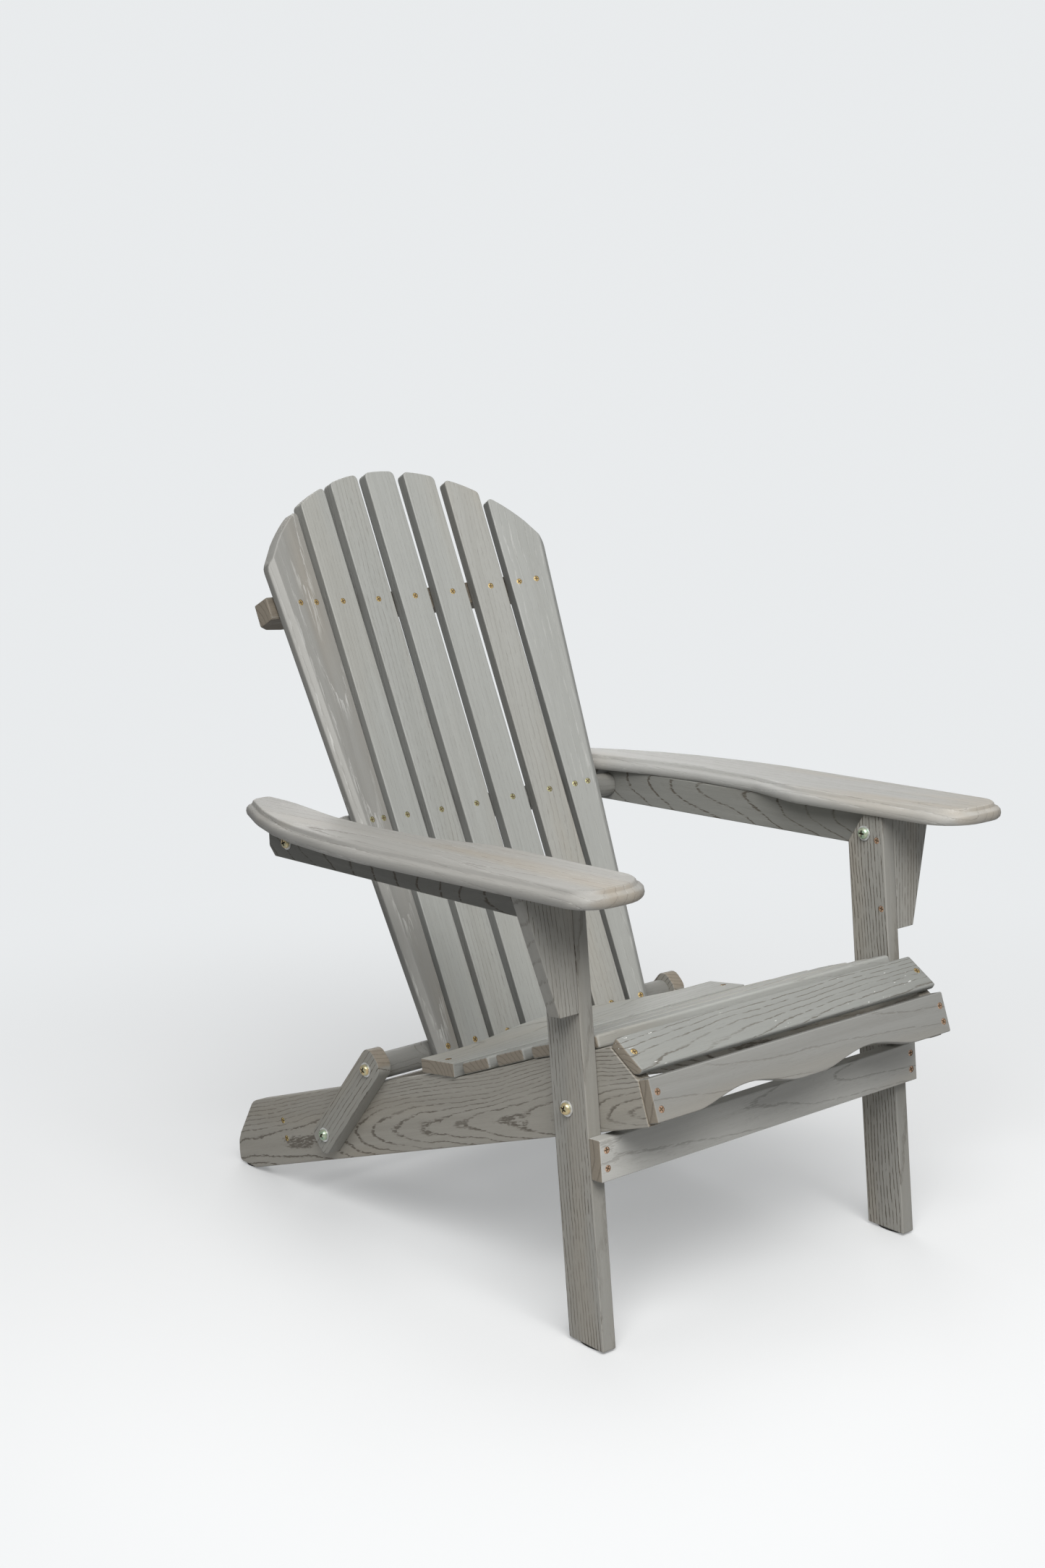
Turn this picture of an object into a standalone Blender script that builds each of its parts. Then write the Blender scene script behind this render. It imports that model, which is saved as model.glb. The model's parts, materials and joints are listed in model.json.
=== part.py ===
"""Folding adirondack chair, modelled piece by piece.

Metres, +Z up, X across the chair (viewer's right is +X), the front at -Y.
Everything below is measured from the front feet's toes: y = 0 there and the floor is z = 0.
One empty moves the whole chair, so that its origin is the centre of its box on the floor.
Five groups swing on pivots that run along X: seat, legs, arms, links and back.
"""

import math

import bmesh
import bpy
from mathutils import Matrix, Vector

# ---------------------------------------------------------------- driving dimensions
FIT_GAP = 0.0003            # between pieces that rest on each other
BOARD = 0.019               # frame boards
SLAT = 0.018                # back slats
APRON = 0.016
RAIL_OUT = 0.2375           # outer face of the side rails, from the middle
LEG_IN = RAIL_OUT + FIT_GAP
LEG_OUT = LEG_IN + BOARD    # legs and links share this layer
ARM_IN = LEG_OUT + FIT_GAP
ARM_OUT = ARM_IN + BOARD    # arm rails, outside the legs
BOX_CENTRE_Y = 0.3483       # middle of the chair's depth, from the toes

# pivots, as (y, z)
LEG_PIVOT = (0.0540, 0.2710)
ARM_PIVOT = (0.0710, 0.5000)
BACK_PIVOT = (0.5630, 0.4885)
BAR_PIVOT = (0.4350, 0.2200)
LINK_PIVOT = (0.5315, 0.1096)

RAIL_SLOPE = math.radians(19.0)
RAIL_RISE = math.tan(RAIL_SLOPE)
RAIL_UNDER = (0.1020, 0.2195)   # a point on the rails' lower edge
RAIL_HEIGHT = 0.0900            # board width, square to the slope
GLIDE = 0.0030                  # feet stand this high
GLIDE_RADIUS = 0.0075

LEG_LEAN = math.radians(4.9)
LEG_FRONT = -0.0015             # front edge of a leg at the floor
LEG_WIDTH = 0.0575              # measured level
LEG_TOP = 0.5236

ARM_TILT = math.radians(1.55)
ARM_UNDER = (0.0800, 0.5240)    # a point on the arm plates' underside
ARM_THICK = 0.0195
ARM_RAIL_HEIGHT = 0.0440

BACK_LEAN = math.radians(25.0)
BAR_RADIUS = 0.0160
BAR_CLEAR = 0.0008              # crossbars and batten stay this far behind the slats
BAR_SQUARENESS = 0.30           # 1 is round, 0 is a flat front where the slats are carried
BACK_BASE = 0.0316              # back's front face to the crossbars' axis

BOLT_RADIUS = 0.0038
HOLE_RADIUS = 0.0042
HEAD_RADIUS = 0.0070
WASHER_RADIUS = 0.0092
WASHER_THICK = 0.0015
NUT_THICK = 0.0050
NUT_CORNER = 0.0078
BAR_HOLE_DEPTH = 0.0400         # bolt holes in the lower crossbar's ends

WOOD = ("weathered_grey_wood", (0.39, 0.39, 0.36), 0.62, 0.0)
DARK_WOOD = ("shaded_grey_wood", (0.24, 0.22, 0.19), 0.70, 0.0)
ZINC = ("yellow_zinc", (0.78, 0.66, 0.38), 0.32, 1.0)
STEEL = ("bright_zinc", (0.75, 0.76, 0.76), 0.28, 1.0)
RUBBER = ("dark_rubber", (0.03, 0.03, 0.03), 0.80, 0.0)


# ---------------------------------------------------------------- scene helpers
def clear_scene():
    for item in list(bpy.data.objects):
        bpy.data.objects.remove(item, do_unlink=True)


def material(spec):
    name, colour, roughness, metallic = spec
    found = bpy.data.materials.get(name)
    if found:
        return found
    made = bpy.data.materials.new(name)
    made.use_nodes = True
    shader = made.node_tree.nodes["Principled BSDF"]
    shader.inputs["Base Color"].default_value = (*colour, 1.0)
    shader.inputs["Roughness"].default_value = roughness
    shader.inputs["Metallic"].default_value = metallic
    return made


def axis_empty(name, pivot, parent=None):
    """An empty on a pivot; pieces parented to it are drawn relative to that pivot."""
    empty = bpy.data.objects.new(name, None)
    bpy.context.scene.collection.objects.link(empty)
    empty["pivot"] = pivot
    start = parent["pivot"] if parent else (0.0, 0.0)
    empty.location = (0.0, pivot[0] - start[0], pivot[1] - start[1])
    empty.parent = parent
    return empty


def finish(name, bm, look, body, smooth=False):
    """Turn a bmesh drawn in chair coordinates into an object on its body's empty."""
    pivot = body["pivot"]
    bmesh.ops.translate(bm, verts=bm.verts, vec=(0.0, -pivot[0], -pivot[1]))
    bmesh.ops.recalc_face_normals(bm, faces=bm.faces)
    mesh = bpy.data.meshes.new(name)
    bm.to_mesh(mesh)
    bm.free()
    mesh.materials.append(material(look))
    if smooth:
        mesh.shade_smooth()
        mesh.set_sharp_from_angle(angle=math.radians(35))
    piece = bpy.data.objects.new(name, mesh)
    bpy.context.scene.collection.objects.link(piece)
    piece.parent = body
    return piece


def hole(piece, centre, x_from, x_to):
    """Cut a bolt hole along X through a piece, at a (y, z) centre."""
    body = piece.parent
    bm = bmesh.new()
    middle = Vector(((x_from + x_to) / 2, centre[0], centre[1]))
    turn = Matrix.Rotation(math.pi / 2, 4, "Y")
    bmesh.ops.create_cone(bm, cap_ends=True, segments=20, radius1=HOLE_RADIUS, radius2=HOLE_RADIUS,
                          depth=abs(x_to - x_from), matrix=Matrix.Translation(middle) @ turn)
    cutter = finish("cut_" + piece.name, bm, STEEL, body)
    cutter.hide_render = True
    cutter.display_type = "WIRE"
    cut = piece.modifiers.new("bolt_hole", "BOOLEAN")
    cut.object = cutter
    cut.operation = "DIFFERENCE"


# ---------------------------------------------------------------- shape helpers
def prism(points, push):
    """A closed prism: a ring of 3-D points pushed along a vector."""
    bm = bmesh.new()
    ring = [bm.verts.new(p) for p in points]
    face = bm.faces.new(ring)
    far = bmesh.ops.extrude_face_region(bm, geom=[face])["geom"]
    moved = [g for g in far if isinstance(g, bmesh.types.BMVert)]
    bmesh.ops.translate(bm, verts=moved, vec=push)
    bmesh.ops.recalc_face_normals(bm, faces=bm.faces)
    return bm


def ease(bm, radius):
    """Round the sharp edges of a board."""
    edges = [e for e in bm.edges if e.calc_face_angle(0.0) > math.radians(30)]
    bmesh.ops.bevel(bm, geom=edges, offset=radius, segments=2, profile=0.5,
                    affect="EDGES", clamp_overlap=True)


def plane_cut(bm, point, normal):
    """Cut away what lies in front of a plane, and close the cut."""
    geom = bm.verts[:] + bm.edges[:] + bm.faces[:]
    cut = bmesh.ops.bisect_plane(bm, geom=geom, plane_co=point, plane_no=normal, clear_outer=True)
    rim = [g for g in cut["geom_cut"] if isinstance(g, bmesh.types.BMEdge)]
    bmesh.ops.contextual_create(bm, geom=rim)


def side_board(outline, x_from, x_to, radius=0.0015):
    """A board lying in a Y-Z plane, from its (y, z) outline."""
    bm = prism([(x_from, y, z) for y, z in outline], (x_to - x_from, 0.0, 0.0))
    ease(bm, radius)
    return bm


def fillet(corners, steps=6):
    """Round the corners of a closed outline given as (u, v, radius)."""
    out = []
    count = len(corners)
    for i, (u, v, radius) in enumerate(corners):
        here = Vector((u, v))
        back = Vector(corners[i - 1][:2]) - here
        ahead = Vector(corners[(i + 1) % count][:2]) - here
        if radius <= 0.0:
            out.append((u, v))
            continue
        half = back.angle(ahead) / 2
        reach = min(radius / math.tan(half), 0.48 * back.length, 0.48 * ahead.length)
        size = reach * math.tan(half)
        start = here + back.normalized() * reach
        end = here + ahead.normalized() * reach
        centre = here + (back.normalized() + ahead.normalized()).normalized() * (size / math.sin(half))
        first = math.atan2(start.y - centre.y, start.x - centre.x)
        sweep = math.atan2(end.y - centre.y, end.x - centre.x) - first
        sweep = (sweep + math.pi) % (2 * math.pi) - math.pi
        parts = max(1, round(steps * abs(sweep) / (math.pi / 2)))
        for k in range(parts + 1):
            angle = first + sweep * k / parts
            out.append((centre.x + size * math.cos(angle), centre.y + size * math.sin(angle)))
    return out


def turned(profile, side, pivot, segments=20):
    """A turned piece along X: (|x|, radius) points; a zero radius closes an end."""
    bm = bmesh.new()
    rings = []
    for x, radius in profile:
        if radius == 0.0:
            rings.append([bm.verts.new((side * x, pivot[0], pivot[1]))])
            continue
        rings.append([bm.verts.new((side * x,
                                    pivot[0] + radius * math.cos(2 * math.pi * k / segments),
                                    pivot[1] + radius * math.sin(2 * math.pi * k / segments)))
                      for k in range(segments)])
    for a, b in zip(rings, rings[1:]):
        for k in range(segments):
            n = (k + 1) % segments
            if len(a) == 1:
                bm.faces.new((a[0], b[k], b[n]))
            elif len(b) == 1:
                bm.faces.new((a[k], b[0], a[n]))
            else:
                bm.faces.new((a[k], b[k], b[n], a[n]))
    return bm


def rail_under(y):
    return RAIL_UNDER[1] + (RAIL_UNDER[0] - y) * RAIL_RISE


def rail_top(y):
    return rail_under(y) + RAIL_HEIGHT / math.cos(RAIL_SLOPE)


def leg_front(z):
    return LEG_FRONT + z * math.tan(LEG_LEAN)


def arm_under(y):
    return ARM_UNDER[1] - (y - ARM_UNDER[0]) * math.tan(ARM_TILT)


SIDES = (("left", -1), ("right", 1))


# ---------------------------------------------------------------- seat
# the slats lie on two straight stretches of the rails' top edge, and the wide rear slat on a third
NOSE_BACK = (0.0048, 0.3480)            # rear end of the slanted seat for the nose slat
SEAT_BEND = (0.1445, 0.2984)
REAR_SLAT_FRONT = (0.2765, 0.2456)      # lower front corner of the wide rear slat
REAR_SLAT_TILT = math.radians(8.2)
REAR_SLAT_BED = 0.0440                  # level length of the rails' edge under it
REAR_SLAT_DEPTH = 0.0645
REAR_SLAT_THICK = 0.0175
REAR_SLAT_HALF = 0.2415
REAR_SLAT_BOW = 0.0460                  # how far its rear edge swells backwards in the middle
REAR_SLAT_BOW_REACH = 0.2000            # half the width of that swelling
SEAT_SLATS = ((0.0190, NOSE_BACK, SEAT_BEND), (0.0867, NOSE_BACK, SEAT_BEND),
              (0.0070, SEAT_BEND, REAR_SLAT_FRONT), (0.0760, SEAT_BEND, REAR_SLAT_FRONT))
SEAT_SLAT_WIDTH = 0.0535
SEAT_SLAT_THICK = 0.0155
SEAT_HALF = 0.2368
NOSE_FRONT = (-0.0370, 0.3220)
NOSE_WIDTH = 0.0500
NOSE_THICK = 0.0150
NOSE_CUT = 0.0075                       # its lower front corner is cut off
APRON_FOOT = -0.0560                    # the rails' front lower corner
RAIL_NOSE_HEIGHT = 0.0500               # the rails' front ends, square to the slope
APRON_HEIGHT = 0.0480
APRON_UP = 0.0030                       # above the rails' lower edge
APRON_HALF = 0.2365
SCALLOP_FROM = 0.0200                   # each scallop's inner and outer end, from the middle
SCALLOP_TO = 0.1750
SCALLOP_RISE = 0.0130
REAR_STRETCHER = (0.6554, 0.0780)       # middle of its section
REAR_STRETCHER_HALF = 0.0280            # half its height
HEEL_Y = 0.7740                         # rearmost point of the rails
REAR_GLIDE_Y = 0.7510


def side_rail(side_name, side, seat):
    heel = RAIL_UNDER[0] + (RAIL_UNDER[1] - GLIDE) / RAIL_RISE
    front_top = (APRON_FOOT + RAIL_NOSE_HEIGHT * math.sin(RAIL_SLOPE),
                 rail_under(APRON_FOOT) + RAIL_NOSE_HEIGHT * math.cos(RAIL_SLOPE))
    bed_y, bed_z = REAR_SLAT_FRONT
    bed_rear_y = bed_y + REAR_SLAT_BED
    bed_rear_z = bed_z - FIT_GAP - REAR_SLAT_BED * math.tan(REAR_SLAT_TILT)
    corners = [
        (APRON_FOOT, rail_under(APRON_FOOT), 0.0),
        (*front_top, 0.0),
        (*NOSE_FRONT, 0.0),
        (*NOSE_BACK, 0.0),
        (*SEAT_BEND, 0.0),
        (bed_y, bed_z - FIT_GAP, 0.0),
        (bed_rear_y, bed_rear_z, 0.0),
        (HEEL_Y - 0.041, rail_top(HEEL_Y - 0.041), 0.022),
        (HEEL_Y, 0.0320, 0.060),
        (HEEL_Y - 0.004, GLIDE, 0.006),
        (heel, GLIDE, 0.0),
    ]
    bm = side_board(fillet(corners, 5), side * (RAIL_OUT - BOARD), side * RAIL_OUT, 0.0012)
    rail = finish(f"side_rail_{side_name}", bm, WOOD, seat)
    for pivot in (LEG_PIVOT, LINK_PIVOT):
        hole(rail, pivot, side * (RAIL_OUT - BOARD - 0.01), side * (RAIL_OUT + 0.01))


def cross_board(name, section, half, body, look=WOOD, radius=0.0025):
    bm = prism([(-half, y, z) for y, z in section], (2 * half, 0.0, 0.0))
    ease(bm, radius)
    return finish(name, bm, look, body)


def rear_seat_slat(seat):
    """The wide slat next to the back: its rear edge bows backwards in the middle."""
    half, parts = REAR_SLAT_HALF, 32
    rear = []
    for k in range(parts + 1):
        x = half - 2 * half * k / parts
        share = min(abs(x) / REAR_SLAT_BOW_REACH, 1.0)
        rear.append((x, REAR_SLAT_DEPTH + 0.5 * REAR_SLAT_BOW * (1 + math.cos(math.pi * share))))
    outline = [(-half, 0.0), (half, 0.0)] + rear
    along = Vector((0.0, math.cos(REAR_SLAT_TILT), -math.sin(REAR_SLAT_TILT)))
    up = Vector((0.0, math.sin(REAR_SLAT_TILT), math.cos(REAR_SLAT_TILT)))
    start = Vector((0.0, REAR_SLAT_FRONT[0], REAR_SLAT_FRONT[1]))
    bm = prism([start + Vector((x, 0.0, 0.0)) + along * d for x, d in outline],
               up * REAR_SLAT_THICK)
    ease(bm, 0.0015)
    finish("seat_slat_rear", bm, WOOD, seat)


def flat_seat_slats(seat):
    for k, (start, head, foot) in enumerate(SEAT_SLATS):
        along = (Vector(foot) - Vector(head)).normalized()
        up = Vector((-along.y, along.x))
        front = Vector(head) + along * start
        rear = front + along * SEAT_SLAT_WIDTH
        section = [front + up * FIT_GAP, rear + up * FIT_GAP,
                   rear + up * SEAT_SLAT_THICK, front + up * SEAT_SLAT_THICK]
        cross_board(f"seat_slat_{k + 1}", section, SEAT_HALF, seat, radius=0.0038)


def nose_slat(seat):
    """The tilted slat over the front edge of the seat."""
    rear, front = Vector(NOSE_BACK), Vector(NOSE_FRONT)
    along = (front - rear).normalized()
    up = Vector((along.y, -along.x))
    low_rear = rear + up * FIT_GAP
    low_front = low_rear + along * (NOSE_WIDTH - NOSE_CUT)
    section = [low_rear, low_front, low_front + (along + up) * NOSE_CUT,
               low_rear + along * NOSE_WIDTH + up * NOSE_THICK, low_rear + up * NOSE_THICK]
    cross_board("seat_nose_slat", [tuple(p) for p in section], SEAT_HALF, seat, radius=0.0025)


def wavy_apron(seat):
    """The board on the rails' front ends: its lower edge has two scallops and a bump."""
    half, parts = APRON_HALF, 60
    lower = []
    for k in range(parts + 1):
        x = -half + 2 * half * k / parts
        share = (abs(x) - SCALLOP_FROM) / (SCALLOP_TO - SCALLOP_FROM)
        rise = SCALLOP_RISE * math.sin(math.pi * share) ** 1.5 if 0 < share < 1 else 0.0
        lower.append((x, rise))
    outline = lower + [(half, APRON_HEIGHT), (-half, APRON_HEIGHT)]
    up = Vector((0.0, math.sin(RAIL_SLOPE), math.cos(RAIL_SLOPE)))
    out = Vector((0.0, -math.cos(RAIL_SLOPE), math.sin(RAIL_SLOPE)))
    foot = Vector((0.0, APRON_FOOT, rail_under(APRON_FOOT))) + up * APRON_UP + out * FIT_GAP
    bm = prism([foot + Vector((x, 0.0, 0.0)) + up * h for x, h in outline], out * APRON)
    ease(bm, 0.0015)
    finish("seat_apron", bm, WOOD, seat)


def rear_stretcher(seat):
    """The hidden board between the rails' rear ends."""
    up = Vector((math.sin(RAIL_SLOPE), math.cos(RAIL_SLOPE)))
    back = Vector((math.cos(RAIL_SLOPE), -math.sin(RAIL_SLOPE)))
    middle = Vector(REAR_STRETCHER)
    section = [tuple(middle + back * (BOARD / 2) * a + up * REAR_STRETCHER_HALF * b)
               for a, b in ((-1, -1), (1, -1), (1, 1), (-1, 1))]
    cross_board("rear_stretcher", section, RAIL_OUT - BOARD - FIT_GAP, seat, DARK_WOOD, 0.0015)


def glide(name, x, y, length, body):
    """A thin oval pad under a foot."""
    bm = bmesh.new()
    spot = Matrix.Translation((x, y, (GLIDE - FIT_GAP) / 2))
    stretch = Matrix.Diagonal((1, length / (2 * GLIDE_RADIUS), 1, 1))
    bmesh.ops.create_cone(bm, cap_ends=True, segments=16, radius1=GLIDE_RADIUS, radius2=GLIDE_RADIUS,
                          depth=GLIDE - FIT_GAP, matrix=spot @ stretch)
    finish(name, bm, RUBBER, body)


def build_seat(seat):
    for name, side in SIDES:
        side_rail(name, side, seat)
        glide(f"rear_glide_{name}", side * (RAIL_OUT - BOARD / 2), REAR_GLIDE_Y, 0.026, seat)
    rear_seat_slat(seat)
    flat_seat_slats(seat)
    nose_slat(seat)
    wavy_apron(seat)
    rear_stretcher(seat)


# ---------------------------------------------------------------- legs
LEG_REAR_TOP = 0.4870           # the rear edge is cut off above this, up to the arm
BRACKET_FOOT = 0.3835
BRACKET_FOOT_OUT = 0.2845       # its outer face runs out from here to the next value at the top
BRACKET_TOP_OUT = 0.3250
BRACKET_DEPTH = 0.0195
STRETCHER_TOP_Y = 0.0225        # where the rails' lower edge meets the stretcher's top
STRETCHER_HEIGHT = 0.0475
STRETCHER_THICK = 0.0180
STRETCHER_CLEAR = 0.0006        # under the rails


def front_leg(side_name, side, legs):
    outline = [
        (leg_front(GLIDE), GLIDE),
        (leg_front(GLIDE) + LEG_WIDTH, GLIDE),
        (leg_front(LEG_REAR_TOP) + LEG_WIDTH, LEG_REAR_TOP),
        (ARM_PIVOT[0] + 0.002, LEG_TOP),
        (leg_front(LEG_TOP), LEG_TOP),
    ]
    bm = side_board(outline, side * LEG_IN, side * LEG_OUT)
    leg = finish(f"front_leg_{side_name}", bm, WOOD, legs)
    for pivot in (LEG_PIVOT, ARM_PIVOT):
        hole(leg, pivot, side * (LEG_IN - 0.01), side * (LEG_OUT + 0.01))


def arm_bracket(side_name, side, legs):
    """A tapered block beside the top of a leg, flush with its front edge, under the arm."""
    low, high = BRACKET_FOOT, LEG_TOP
    back = Vector((0.0, math.cos(LEG_LEAN), -math.sin(LEG_LEAN)))
    corners = [(ARM_IN, low), (BRACKET_FOOT_OUT, low), (BRACKET_TOP_OUT, high), (ARM_IN, high)]
    points = [(side * x, leg_front(z), z) for x, z in corners]
    bm = prism(points, back * BRACKET_DEPTH)
    ease(bm, 0.0012)
    finish(f"arm_bracket_{side_name}", bm, WOOD, legs)


def front_stretcher(legs):
    """The board across the legs' front edges; the rails rest on it when the chair is open."""
    down = Vector((-math.sin(LEG_LEAN), -math.cos(LEG_LEAN))) * STRETCHER_HEIGHT
    out = Vector((-math.cos(LEG_LEAN), math.sin(LEG_LEAN))) * STRETCHER_THICK
    top_z = rail_under(STRETCHER_TOP_Y) - STRETCHER_CLEAR
    inner_top = Vector((leg_front(top_z) - FIT_GAP, top_z))
    section = [inner_top, inner_top + out, inner_top + out + down, inner_top + down]
    cross_board("front_stretcher", [tuple(p) for p in section], LEG_OUT, legs, radius=0.0015)


def build_legs(legs):
    for name, side in SIDES:
        front_leg(name, side, legs)
        arm_bracket(name, side, legs)
        glide(f"front_glide_{name}", side * (LEG_IN + BOARD / 2), LEG_FRONT + LEG_WIDTH / 2, 0.040, legs)
    front_stretcher(legs)


# ---------------------------------------------------------------- arms
ARM_OUTLINE = [             # (|x|, y, corner radius), anticlockwise seen from above on the right side
    (0.2295, -0.0755, 0.052), (0.3375, -0.0755, 0.039), (0.3540, 0.3300, 0.400), (0.3380, 0.4900, 0.300),
    (0.3075, 0.5850, 0.120), (0.2720, 0.6660, 0.026), (0.2285, 0.6715, 0.020), (0.2320, 0.6000, 0.200),
    (0.2610, 0.4300, 0.400), (0.2525, 0.2750, 0.060), (0.2295, 0.1875, 0.060),
]
ARM_RAIL_FRONT = -0.0075        # ends of the arm rail, from the arm pivot
ARM_RAIL_REAR = 0.5340
# the arm plate's edge, from the underside up, as (inset, height)
ARM_EDGE = ((0.0030, 0.0), (0.0008, 0.0022), (0.0, 0.0060), (0.0008, 0.0100), (0.0030, 0.0125),
            (0.0062, 0.0136), (0.0078, 0.0152), (0.0090, 0.0180), (0.0110, ARM_THICK))


def inset_ring(ring, distance):
    """Move a closed outline inwards by a distance, corner by corner."""
    out = []
    count = len(ring)
    for i in range(count):
        before = Vector(ring[i]) - Vector(ring[i - 1])
        after = Vector(ring[(i + 1) % count]) - Vector(ring[i])
        normal = Vector((-before.y, before.x)).normalized() + Vector((-after.y, after.x)).normalized()
        normal.normalize()
        out.append(Vector(ring[i]) + normal * distance)
    return out


def arm_plate(side_name, side, arms):
    """The broad armrest with a stepped, rounded edge all the way round."""
    ring = fillet(ARM_OUTLINE, 8)
    bm = bmesh.new()
    levels = []
    for inset, height in ARM_EDGE:
        level = []
        for u, v in inset_ring(ring, inset):
            level.append(bm.verts.new((side * u, v, arm_under(v) + height)))
        levels.append(level)
    count = len(ring)
    for a, b in zip(levels, levels[1:]):
        for k in range(count):
            n = (k + 1) % count
            bm.faces.new((a[k], a[n], b[n], b[k]))
    bm.faces.new(levels[0])
    bm.faces.new(levels[-1])
    finish(f"arm_plate_{side_name}", bm, WOOD, arms)


def arm_rail(side_name, side, arms):
    """The board under an arm plate; its front lower corner is cut to clear the bracket."""
    along = Vector((math.cos(ARM_TILT), -math.sin(ARM_TILT)))
    up = Vector((math.sin(ARM_TILT), math.cos(ARM_TILT)))
    pivot = Vector(ARM_PIVOT)
    top = (arm_under(ARM_PIVOT[0]) - ARM_PIVOT[1]) * math.cos(ARM_TILT) - FIT_GAP
    low = top - ARM_RAIL_HEIGHT
    front, rear, cut = ARM_RAIL_FRONT, ARM_RAIL_REAR, 0.012
    corners = [(0.009, low), (rear - cut, low), (rear, low + cut), (rear, top), (front, top), (front, -0.002)]
    outline = [tuple(pivot + along * a + up * b) for a, b in corners]
    bm = side_board(outline, side * ARM_IN, side * ARM_OUT)
    rail = finish(f"arm_rail_{side_name}", bm, WOOD, arms)
    for spot in (ARM_PIVOT, BACK_PIVOT):
        hole(rail, spot, side * (ARM_IN - 0.01), side * (ARM_OUT + 0.01))


def build_arms(arms):
    for name, side in SIDES:
        arm_plate(name, side, arms)
        arm_rail(name, side, arms)


# ---------------------------------------------------------------- links
LINK_HALF = 0.0195
LINK_TOP_REACH = 0.0260
LINK_FOOT_REACH = 0.0240


def link(side_name, side, links):
    foot, head = Vector(LINK_PIVOT), Vector(BAR_PIVOT)
    along = (head - foot).normalized()
    across = Vector((along.y, -along.x))
    length = (head - foot).length
    corners = [(-LINK_HALF, -LINK_FOOT_REACH, 0.011), (LINK_HALF, -LINK_FOOT_REACH, 0.011),
               (LINK_HALF, length + LINK_TOP_REACH, 0.015), (-LINK_HALF, length + LINK_TOP_REACH, 0.015)]
    outline = [tuple(foot + across * u + along * v) for u, v in fillet(corners, 5)]
    bm = side_board(outline, side * LEG_IN, side * LEG_OUT, 0.0010)
    piece = finish(f"back_link_{side_name}", bm, WOOD, links)
    for pivot in (LINK_PIVOT, BAR_PIVOT):
        hole(piece, pivot, side * (LEG_IN - 0.01), side * (LEG_OUT + 0.01))


# ---------------------------------------------------------------- back
BACK_ALONG = Vector((0.0, math.sin(BACK_LEAN), math.cos(BACK_LEAN)))
BACK_REAR = Vector((0.0, math.cos(BACK_LEAN), -math.sin(BACK_LEAN)))
# a point on the front face of the middle slat, level with the lower crossbar
BACK_ORIGIN = Vector((0.0, BAR_PIVOT[0], BAR_PIVOT[1])) - BACK_REAR * BACK_BASE
EDGE_CUT = 0.0090               # chamfer along the outer slats' outer front edge
SLAT_FOOT = -0.0190             # slats end this far below the lower crossbar's axis
CROWN_TOP = 0.7665              # crest of the middle slat above that axis
CROWN_RADIUS = 0.2650
CORNER = 0.0085                 # the slats' top corners
OUTER_CORNER = 0.0160           # the outer slats' outer top corners
BATTEN_AT = 0.5885              # upper batten, along the back from the lower crossbar
BATTEN_HALF = 0.0150
BATTEN_ENDS = (-0.2345, 0.2300)  # it sits slightly off centre
BATTEN_REAR = 0.0430            # its straight rear face, behind the middle slat's front
# for each slat, out from the middle: centre at the foot, centre's drift per metre, turn, set-forward
SLAT_WIDTH = 0.0474
SLAT_GAP = 0.0092
INNER_SLATS = ((0.0, 0.0, 0.0, 0.0), (0.0567, 0.0066, math.radians(4), 0.0020),
               (0.1133, 0.0125, math.radians(8), 0.0080))
OUTER_TURN = math.radians(11)
OUTER_START = (0.1470, 0.0120)  # where the outer slat's face is set forward by the second value


def outer_inner_edge(s):
    return 0.1439 + 0.0176 * s


def outer_outer_edge(s):
    return 0.1755 + 0.0790 * s


def crown(x):
    return CROWN_TOP - CROWN_RADIUS + math.sqrt(CROWN_RADIUS ** 2 - x ** 2)


def turn_at(x):
    """The turn of the slat at x."""
    for centre, _, turn, _ in INNER_SLATS:
        if abs(x) < centre + SLAT_WIDTH / 2 + SLAT_GAP / 2:
            return turn
    return OUTER_TURN


def front_point(x, s, forward):
    return BACK_ORIGIN + Vector((x, 0.0, 0.0)) + BACK_ALONG * s - BACK_REAR * forward


def outer_plane(x):
    return OUTER_START[1] + (abs(x) - OUTER_START[0]) * math.tan(OUTER_TURN)


def slat_from(name, outline, side, turn, plane, back, outer_edge=None):
    """A back slat from its (x, s) outline; plane gives the set-forward at x.

    An outer edge, x at a height, has its front corner cut off along its whole length."""
    rear = BACK_REAR * math.cos(turn) + Vector((side * math.sin(turn), 0.0, 0.0))
    bm = prism([front_point(x, s, plane(x)) for x, s in outline], rear * SLAT)
    if outer_edge:
        low, high = (front_point(outer_edge(s), s, plane(outer_edge(s))) for s in (0.0, 0.5))
        out = rear.cross(high - low).normalized() * side
        plane_cut(bm, low + rear * EDGE_CUT, out - rear)
    ease(bm, 0.0018)
    finish(name, bm, WOOD, back)


def crown_outline(left, right, steps=6, corners=(CORNER, CORNER)):
    """A slat's outline: straight foot, straight edges, crown arc with rounded left and right corners."""
    def edge_top(edge):
        s = CROWN_TOP
        for _ in range(12):
            s = crown(edge(s))
        return s
    top_left, top_right = edge_top(left), edge_top(right)
    points = [(left(SLAT_FOOT), SLAT_FOOT, 0.0), (right(SLAT_FOOT), SLAT_FOOT, 0.0),
              (right(top_right), top_right, corners[1])]
    width = right(top_right) - left(top_left)
    for k in range(1, steps):
        across = width * k / steps
        if across > 1.05 * corners[1] and width - across > 1.05 * corners[0]:
            x = right(top_right) - across
            points.append((x, crown(x), 0.0))
    points.append((left(top_left), top_left, corners[0]))
    return fillet(points, 5)


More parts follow.
